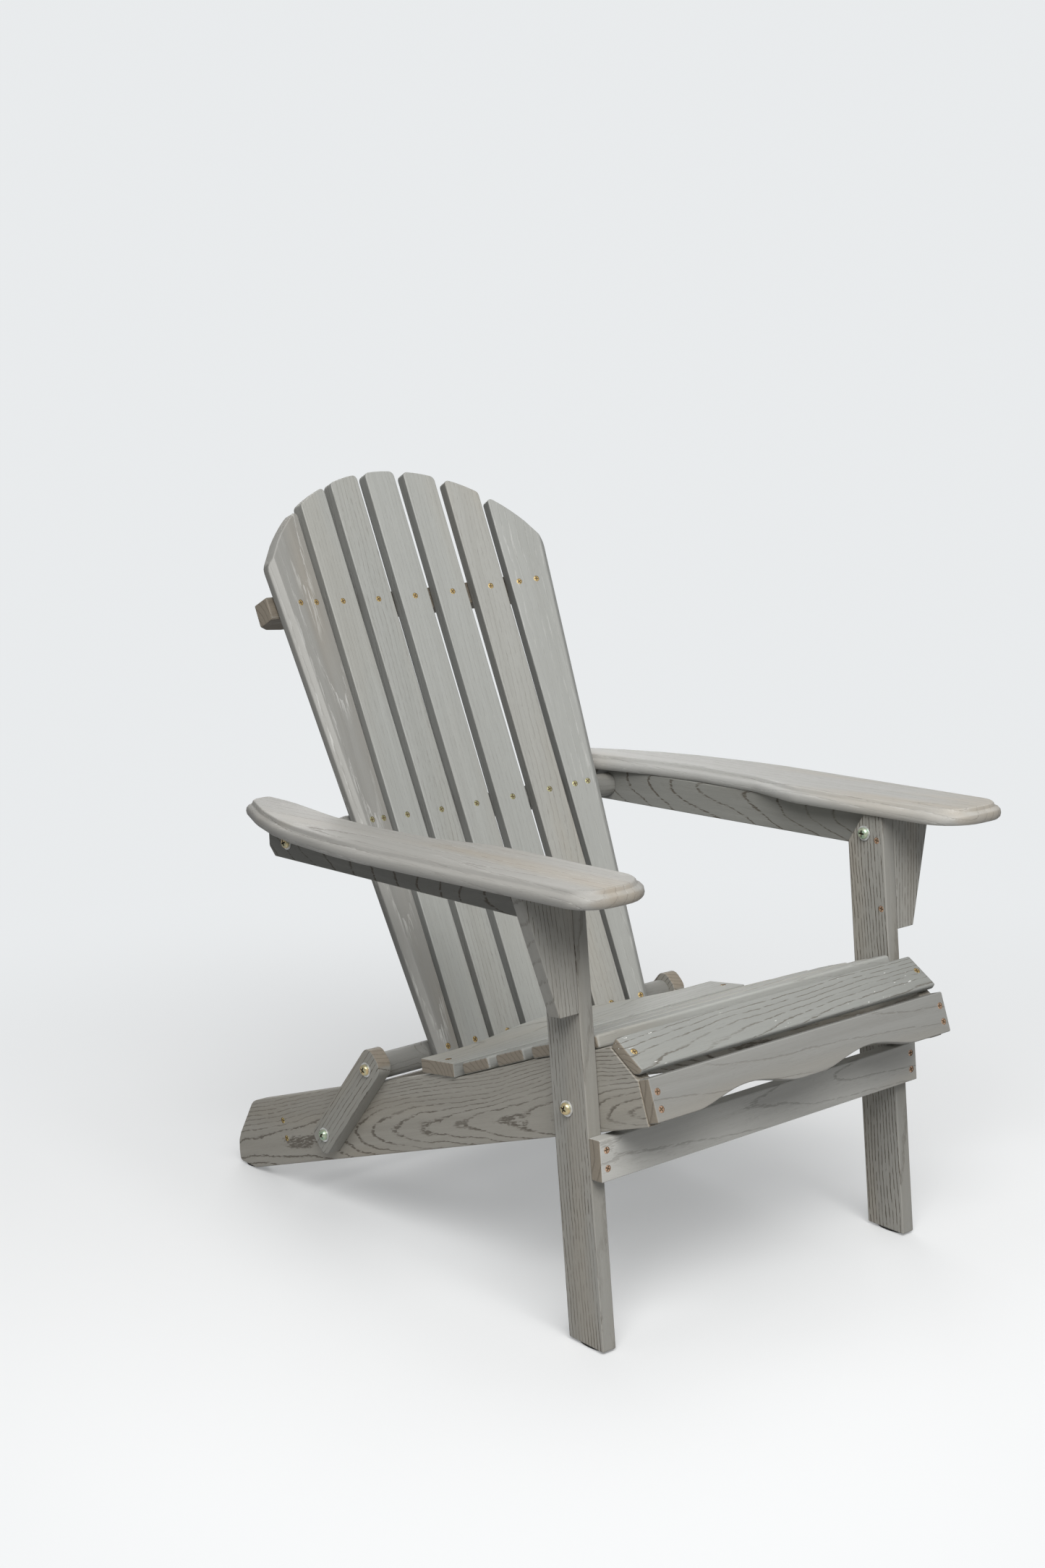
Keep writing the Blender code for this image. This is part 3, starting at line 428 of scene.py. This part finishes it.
def carve(piece, cutter, inside):
    """Subtract a bmesh from a piece and keep the result as its mesh, with its own material in the cuts."""
    mesh = bpy.data.meshes.new("cutter")
    cutter.to_mesh(mesh)
    cutter.free()
    mesh.materials.append(inside)
    tool = bpy.data.objects.new("cutter", mesh)
    bpy.context.scene.collection.objects.link(tool)
    cut = piece.modifiers.new("holes", "BOOLEAN")
    cut.object = tool
    cut.operation = "DIFFERENCE"
    cut.material_mode = "TRANSFER"
    bpy.context.view_layer.update()
    shaped = piece.evaluated_get(bpy.context.evaluated_depsgraph_get())
    carved = bpy.data.meshes.new_from_object(shaped)
    piece.modifiers.clear()
    piece.data = carved
    carved.shade_smooth()
    carved.set_sharp_from_angle(angle=SMOOTH_ANGLE)
    bpy.data.objects.remove(tool, do_unlink=True)


def turned_to(normal):
    """A rotation that takes +Z to a direction."""
    return Vector(normal).to_track_quat("Z", "Y").to_matrix().to_4x4()


def drill(bm, place, normal, radius, depth):
    """Add to a cutter one round hole, sunk into the surface at a place."""
    lift = 0.002
    middle = Vector(place) + Vector(normal) * (lift - depth) / 2
    bmesh.ops.create_cone(bm, cap_ends=True, segments=20, radius1=radius * 0.86, radius2=radius,
                          depth=depth + lift, matrix=Matrix.Translation(middle) @ turned_to(normal))


def cross_outline(arm, width):
    """A Phillips cross, anticlockwise."""
    a, w = arm, width / 2
    quarter = [(a, -w), (a, w), (w, w)]
    out = []
    for k in range(4):
        c, s = round(math.cos(k * math.pi / 2)), round(math.sin(k * math.pi / 2))
        out += [(x * c - y * s, x * s + y * c) for x, y in quarter]
    return out


def cross_bit(bm, place, normal, spin, arm, width, depth):
    """Add to a cutter one cross-shaped bit that narrows as it goes in."""
    turn = Matrix.Translation(Vector(place)) @ turned_to(normal) @ Matrix.Rotation(spin, 4, "Z")
    rings = []
    for z, share in ((0.002, 1.0), (-0.35 * depth, 0.92), (-depth, 0.35)):
        rings.append([bm.verts.new(turn @ Vector((x * share, y * share, z)))
                      for x, y in cross_outline(arm, width)])
    count = len(rings[0])
    for upper, lower in zip(rings, rings[1:]):
        for k in range(count):
            n = (k + 1) % count
            bm.faces.new((upper[k], lower[k], lower[n], upper[n]))
    bm.faces.new(rings[0])
    bm.faces.new(rings[-1][::-1])
    bmesh.ops.recalc_face_normals(bm, faces=bm.faces)


def turned_head(bm, place, normal, profile, segments=24):
    """A turned solid round a normal, from (height, radius) points; radius 0 closes it."""
    turn = Matrix.Translation(Vector(place)) @ turned_to(normal)
    rings = []
    for height, radius in profile:
        count = segments if radius else 1
        rings.append([bm.verts.new(turn @ Vector((radius * math.cos(2 * math.pi * k / segments),
                                                  radius * math.sin(2 * math.pi * k / segments), height)))
                      for k in range(count)])
    for a, b in zip(rings, rings[1:]):
        for k in range(segments):
            n = (k + 1) % segments
            corners = [a[k % len(a)], a[n % len(a)], b[n % len(b)], b[k % len(b)]]
            bm.faces.new(list(dict.fromkeys(corners)))
    bmesh.ops.recalc_face_normals(bm, faces=bm.faces)


# ---------------------------------------------------------------- screws
def pair_on(node):
    """The places of two screws, one above the other, in the middle of a board."""
    turn = board_axes(node)[1]
    up = turn[1] if abs(turn[1].z) > abs(turn[2].z) else turn[2]
    return [middle_of(node) + up * SCREW_GAPS[node] * share for share in (-0.5, 0.5)]


def back_screws(put):
    """Each slat is held to each bar by one screw, and the outer slats to the upper two bars by two."""
    slats = [f"back_slat_{k}" for k in range(1, 8)]
    along = board_axes("back_slat_4")[1][0]
    front = Vector((0.0, -along.z, along.y))
    base = JOINTS["back_swing"]
    for bar, colour in (("back_batten_upper", "brass"), ("back_crossbar_middle", "green_brass"),
                        ("back_crossbar_lower", "brass")):
        height = 0.0 if bar.endswith("lower") else (middle_of(bar) - base).dot(along)
        for slat in slats:
            low, high = span_at(slat, base, along, height)
            two = height > 0.0 and slat in (slats[0], slats[-1])
            for share in OUTER_SHARES if two else (0.5,):
                near = base + along * height
                near.x = low + (high - low) * share if slat != slats[0] else high - (high - low) * share
                put(slat, near, front, colour)


def seat_screws(put, name, side):
    """Everything screwed to one side rail: slats, nose, apron and rear stretcher."""
    x = side * middle_of("side_rail_right").x
    for k in range(1, 5):
        spot = middle_of(f"seat_slat_{k}")
        put(f"seat_slat_{k}", (x, spot.y, spot.z), (0, 0.2, 1))
    front_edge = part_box("seat_slat_rear")[0].y
    put("seat_slat_rear", (x, front_edge + REAR_SLAT_INSET, middle_of("seat_slat_rear").z), (0, 0.2, 1))
    nose = middle_of("seat_nose_slat")
    put("seat_nose_slat", (x, nose.y, nose.z), (0, -0.5, 0.85))
    for spot in pair_on("seat_apron"):
        put("seat_apron", (x, spot.y, spot.z), (0, -1, 0.2), "copper")
    for spot in pair_on("rear_stretcher"):
        put(f"side_rail_{name}", (side * 0.3, spot.y, spot.z), (side, 0, 0), "gold")


def leg_screws(put, name, side):
    """The front stretcher's screws and, on the inner face of the leg, the arm bracket's."""
    x = side * middle_of("front_leg_right").x
    for spot in pair_on("front_stretcher"):
        put("front_stretcher", (x, spot.y, spot.z), (0, -1, 0.2), "copper")
    low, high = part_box(f"arm_bracket_{name}")
    lean = board_axes(f"front_leg_{name}")[1][0].y
    for height in (low.z + BRACKET_INSETS[0], high.z - BRACKET_INSETS[1]):
        y = (low.y + high.y) / 2 + (height - (low.z + high.z) / 2) * lean
        put(f"front_leg_{name}", (0.0, y, height), (-side, 0, 0), "copper")


def screw_list():
    """Every wood screw as (node it is driven into, place, outward normal, colour)."""
    out = []

    def put(node, near, outward, colour="brass"):
        place, normal = surface(node, near, outward)
        out.append((node, place, normal, colour))

    back_screws(put)
    for name, side in SIDES:
        seat_screws(put, name, side)
        leg_screws(put, name, side)
    return out


def make_screws(screws, metals):
    """One object for each board's screws of one colour, each screw with its own cross recess."""
    dice = random.Random(11)
    groups = {}
    for node, place, normal, colour in screws:
        groups.setdefault((node, colour), []).append((place, normal))
    for (node, colour), places in sorted(groups.items()):
        heads, bits = bmesh.new(), bmesh.new()
        for place, normal in places:
            seat = place - normal * SCREW_SINK
            turned_head(heads, seat, normal, SCREW_PROFILE, 20)
            cross_bit(bits, seat + normal * 0.0002, normal, dice.uniform(0, math.pi),
                      *SCREW_CROSS)
        piece = new_piece(f"screws_{colour}_{node}", heads, metals[colour], BODY_OF[node])
        carve(piece, bits, metals["recess"])


# ---------------------------------------------------------------- pieces from the CAD
def refined(node, material, cutter=None, inside=None):
    """The CAD node's shape, welded and smoothly shaded, standing for that node."""
    bm = bmesh.new()
    bm.from_mesh(frame["nodes"][node].data)
    bmesh.ops.remove_doubles(bm, verts=bm.verts, dist=WELD)
    bmesh.ops.dissolve_degenerate(bm, edges=bm.edges, dist=WELD)
    bmesh.ops.dissolve_limit(bm, angle_limit=FLAT_ANGLE, verts=bm.verts, edges=bm.edges)
    piece = new_piece("visual_" + node, bm, material, BODY_OF[node])
    if cutter:
        carve(piece, cutter, inside)
    even = piece.modifiers.new("even_shading", "WEIGHTED_NORMAL")
    even.keep_sharp = True
    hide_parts(node)
    return piece


BOARD_LOOKS = {
    "side_rail": {"rings": 0.0039, "pith": (-0.024, -0.051), "taper": -0.058, "pores": 0.74, "line": 0.0013,
                  "wander": 0.014, "warm": 0.60,
                  "light": (0.380, 0.362, 0.322), "dark": (0.322, 0.304, 0.266)},
    "front_leg": {"rings": 0.0050, "pith": (0.150, -0.030), "taper": 0.010, "pores": 0.95, "wander": 0.005,
                  "line": 0.0017, "light": (0.345, 0.338, 0.312), "dark": (0.300, 0.292, 0.266)},
    "back_link": {"rings": 0.0058, "pith": (0.110, -0.030), "taper": 0.010, "pores": 0.95, "wander": 0.005,
                  "line": 0.0015, "light": (0.340, 0.333, 0.304), "dark": (0.292, 0.284, 0.257)},
    "arm_bracket": {"rings": 0.0052, "pith": (0.150, -0.020), "taper": 0.010, "pores": 0.85, "wander": 0.004,
                    "light": (0.345, 0.338, 0.312), "dark": (0.298, 0.290, 0.265)},
    "arm_rail": {"rings": 0.0080, "pith": (0.004, -0.085), "taper": -0.150, "pores": 0.85, "wander": 0.018,
                 "light": (0.285, 0.285, 0.267), "dark": (0.245, 0.245, 0.227)},
    # painted shade: the near arm rail's tone is darkened for the shade under the overhanging arm plate
    "arm_rail_left": {"rings": 0.0090, "pith": (0.004, -0.095), "taper": -0.190, "pores": 0.85,
                      "wander": 0.020, "light": (0.205, 0.202, 0.186), "dark": (0.172, 0.170, 0.155)},
    # painted light and shade: the far arm plate is a lighter copy and the near one a darker copy of one wood
    "arm_plate": {"rings": 0.0105, "pith": (-0.030, -0.030), "taper": -0.030, "pores": 0.30, "lime": 0.34,
                  "fine": 0.14, "warm": 0.75, "ends": 0.5, "edge": 1.0,
                  "light": (0.430, 0.428, 0.412), "dark": (0.380, 0.377, 0.360)},
    # painted shade: the near arm plate's tone is the darker copy
    "arm_plate_left": {"rings": 0.0105, "pith": (-0.030, -0.030), "taper": -0.030, "pores": 0.34,
                       "lime": 0.34, "fine": 0.16, "warm": 0.90, "ends": 0.5, "edge": 1.0,
                       "light": (0.345, 0.338, 0.318), "dark": (0.302, 0.294, 0.275)},
    # the back slats' edge tone of 0.70 paints a deeper shade on their sides, in the narrow gaps between them
    "back_slat": {"rings": 0.0055, "pith": (0.120, -0.060), "taper": 0.020, "pores": 0.10, "lime": 0.05,
                  "wander": 0.006, "warm": 0.20, "ends": 0.2, "edge": 0.70,
                  "light": (0.350, 0.356, 0.338), "dark": (0.312, 0.316, 0.298)},
    # painted light: slat 1's facet tone of 1.22 lightens its chamfer, which faces the light
    "back_slat_1": {"rings": 0.0100, "pith": (0.004, -0.050), "taper": 0.070, "pores": 0.05, "lime": 0.45,
                    "fine": 0.05, "warm": 0.55, "ends": 0.2, "edge": 0.75, "painted_light_facet": 1.22,
                    "light": (0.275, 0.272, 0.256), "dark": (0.240, 0.236, 0.220)},
    "back_slat_3": {"rings": 0.0060, "pith": (0.110, -0.060), "pores": 0.22, "fine": 0.28, "wander": 0.006,
                    "warm": 0.15, "ends": 0.2, "edge": 0.70,
                    "light": (0.345, 0.350, 0.332), "dark": (0.305, 0.309, 0.290)},
    "back_slat_6": {"rings": 0.0060, "pith": (0.090, -0.060), "pores": 0.16, "warm": 0.55, "fine": 0.20,
                    "ends": 0.2, "edge": 0.70, "light": (0.352, 0.352, 0.330), "dark": (0.309, 0.307, 0.284)},
    "back_slat_7": {"rings": 0.0090, "pith": (0.040, -0.040), "taper": 0.050, "pores": 0.08, "lime": 0.40,
                    "fine": 0.06, "ends": 0.2, "edge": 0.70, "warm": 0.20,
                    "light": (0.345, 0.350, 0.333), "dark": (0.305, 0.309, 0.291)},
    "back_batten": {"light": (0.195, 0.166, 0.128), "dark": (0.125, 0.106, 0.080), "pores": 0.5, "lime": 0.2},
    "seat_slat": {"pores": 0.30},
    "seat_nose": {"rings": 0.0056, "pith": (-0.030, -0.028), "taper": 0.045, "pores": 0.70, "wander": 0.009,
                  "chips": 0.9, "light": (0.292, 0.297, 0.281), "dark": (0.258, 0.262, 0.246)},
    "seat_apron": {"rings": 0.0130, "pith": (0.030, -0.040), "taper": 0.050, "pores": 0.30, "fine": 0.08,
                   "light": (0.288, 0.286, 0.271), "dark": (0.257, 0.254, 0.238)},
    # painted light: the front stretcher's tone is raised to make up for the apron's shade on it
    "front_stretcher": {"rings": 0.0110, "pith": (0.010, -0.035), "taper": 0.045, "pores": 0.30, "lime": 0.16,
                        "light": (0.490, 0.486, 0.460), "dark": (0.435, 0.430, 0.405)},
    "rear_stretcher": {"light": (0.270, 0.248, 0.212), "dark": (0.205, 0.186, 0.154)},
    "back_crossbar": {"rings": 0.0060, "pith": (0.060, -0.040), "light": (0.275, 0.273, 0.255),
                      "dark": (0.238, 0.235, 0.218)},
}


def look_of(node):
    """The most exact entry of BOARD_LOOKS that the node's name starts with."""
    names = [k for k in BOARD_LOOKS if node.startswith(k)]
    return BOARD_LOOKS[max(names, key=len)] if names else {}


def slot_of(node):
    """The material slot that the record gives a node."""
    return next(s["material_slot"] for s in frame["record"]["subparts"] if s["node"] == node)


def bolt_cutter(node):
    """The cross recess in a pivot bolt's head, which is at its widest end."""
    mesh = frame["nodes"][node].data
    low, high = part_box(node)
    centre = middle_of(node)
    widest = max(mesh.vertices, key=lambda v: (v.co.yz - centre.yz).length)
    outward = 1.0 if abs(high.x - widest.co.x) < abs(low.x - widest.co.x) else -1.0
    crown = Vector((high.x if outward > 0 else low.x, centre.y, centre.z))
    spin = sum(map(ord, node)) % 7 * 0.4    # each bolt was stopped at its own angle
    bits = bmesh.new()
    cross_bit(bits, crown, (outward, 0, 0), spin, *BOLT_CROSS)
    return bits


def make_pieces(screws, metals, rubber):
    """Every CAD node with its material: boards with screw holes, bolts with cross recesses."""
    holes, drilled = {}, drilled_wood()
    for node, place, normal, _ in screws:
        bm = holes.setdefault(node, bmesh.new())
        drill(bm, place, normal, DRILL_RADIUS, DRILL_DEPTH)
    for seed, node in enumerate(NODES):
        slot = slot_of(node)
        if "wood" in slot:
            refined(node, wood_material(node, seed, **look_of(node)), holes.get(node), drilled)
        elif "bolt" in node:
            zinc = "green_zinc" if node.startswith(("link_foot", "arm_pivot")) else "gold_zinc"
            refined(node, metals[zinc], bolt_cutter(node), metals["recess"])
        elif "glide" in node:
            refined(node, rubber)
        else:
            refined(node, metals["washer"])


# ---------------------------------------------------------------- stage, light, camera
FLOOR_GLOW = 0.28           # share of the near floor's tone that shadows don't reach
AMBIENT = 0.26              # glow of the studio walls on the object
BOUNCE = 0.36               # glow of the far floor on the object


def make_stage():
    """A floor that takes shadows near the object and is the backdrop's own tone further out."""
    floor_bm = bmesh.new()
    bmesh.ops.create_circle(floor_bm, cap_ends=True, segments=96, radius=30.0)
    mesh = bpy.data.meshes.new("floor")
    floor_bm.to_mesh(mesh)
    floor_bm.free()
    floor = bpy.data.objects.new("floor", mesh)
    bpy.context.scene.collection.objects.link(floor)
    material = bpy.data.materials.new("studio_floor")
    material.use_nodes = True
    t = Tree(material.node_tree)
    nodes = material.node_tree.nodes
    nodes.remove(nodes["Principled BSDF"])
    place = t.add("TexCoord").outputs["Object"]
    away = t.step(t.vector("LENGTH", place), 0.4, 1.8)
    matt = t.add("BsdfDiffuse")
    seen = t.add("LightPath").outputs["Is Camera Ray"]
    t.feed(matt.inputs["Color"], t.mix(seen, (0.62, 0.62, 0.62), (0.86, 0.865, 0.87)))
    plain = t.add("Emission")
    plain.inputs["Color"].default_value = (*BACKDROP, 1.0)
    t.feed(plain.inputs["Strength"], t.math("ADD", BOUNCE, t.math("MULTIPLY", seen, 1.0 - BOUNCE)))
    blend = t.add("MixShader")
    t.feed(blend.inputs[0], t.math("ADD", FLOOR_GLOW, t.math("MULTIPLY", away, 1.0 - FLOOR_GLOW)))
    t.feed(blend.inputs[1], matt.outputs[0])
    t.feed(blend.inputs[2], plain.outputs[0])
    t.feed(nodes["Material Output"].inputs["Surface"], blend.outputs[0])
    mesh.materials.append(material)


def make_world():
    """A pale backdrop, with a weaker glow of the same colour on the object."""
    world = bpy.data.worlds.new("studio")
    bpy.context.scene.world = world
    world.use_nodes = True
    t = Tree(world.node_tree)
    shade = world.node_tree.nodes["Background"]
    seen = t.add("LightPath").outputs["Is Camera Ray"]
    shade.inputs["Color"].default_value = (*BACKDROP, 1.0)
    t.feed(shade.inputs["Strength"], t.math("ADD", AMBIENT, t.math("MULTIPLY", seen, 1.0 - AMBIENT)))


# softboxes: (name, place, aim, size in x, size across, power in watts)
SOFTBOXES = (
    ("key", (-1.25, -2.0, 2.65), (0.1, 0.05, 0.4), 2.8, 1.6, 118.0),
    ("top", (0.6, 0.3, 3.1), (0.1, 0.1, 0.4), 2.2, 2.2, 20.0),
    ("fill", (1.6, 2.8, 1.7), (0.0, 0.3, 0.5), 2.0, 1.4, 26.0),
)


def make_lights():
    """The softboxes, each turned to its aim."""
    for name, place, aim, size, across, power in SOFTBOXES:
        lamp = bpy.data.lights.new(name, "AREA")
        lamp.shape = "RECTANGLE"
        lamp.size = size
        lamp.size_y = across
        lamp.energy = power
        lamp.color = (1.0, 0.995, 0.985)
        holder = bpy.data.objects.new(name, lamp)
        holder.location = place
        direction = Vector(aim) - Vector(place)
        holder.rotation_euler = direction.to_track_quat("-Z", "Y").to_euler()
        bpy.context.scene.collection.objects.link(holder)


def make_camera():
    """The camera, placed from the chair's toes and turned by yaw, pitch and roll."""
    yaw, pitch, roll = (math.radians(a) for a in (CAMERA_YAW, CAMERA_PITCH, CAMERA_ROLL))
    ahead = Vector((math.sin(yaw) * math.cos(pitch), math.cos(yaw) * math.cos(pitch), -math.sin(pitch)))
    level = Vector((math.cos(yaw), -math.sin(yaw), 0.0))
    upright = level.cross(ahead)
    right = level * math.cos(roll) + upright * math.sin(roll)
    up = upright * math.cos(roll) - level * math.sin(roll)
    data = bpy.data.cameras.new("camera")
    data.lens = CAMERA_LENS
    data.sensor_width = 36.0
    camera = bpy.data.objects.new("camera", data)
    bpy.context.scene.collection.objects.link(camera)
    axes = Matrix((right, up, -ahead)).transposed().to_4x4()
    camera.matrix_world = Matrix.Translation(TOES + Vector(CAMERA_FROM_TOES)) @ axes
    bpy.context.scene.camera = camera


def main():
    scene = bpy.context.scene
    scene.view_settings.view_transform = "Standard"
    metals = make_metals()
    screws = screw_list()
    make_pieces(screws, metals, rubber_material())
    make_screws(screws, metals)
    make_stage()
    make_world()
    make_lights()
    make_camera()


main()
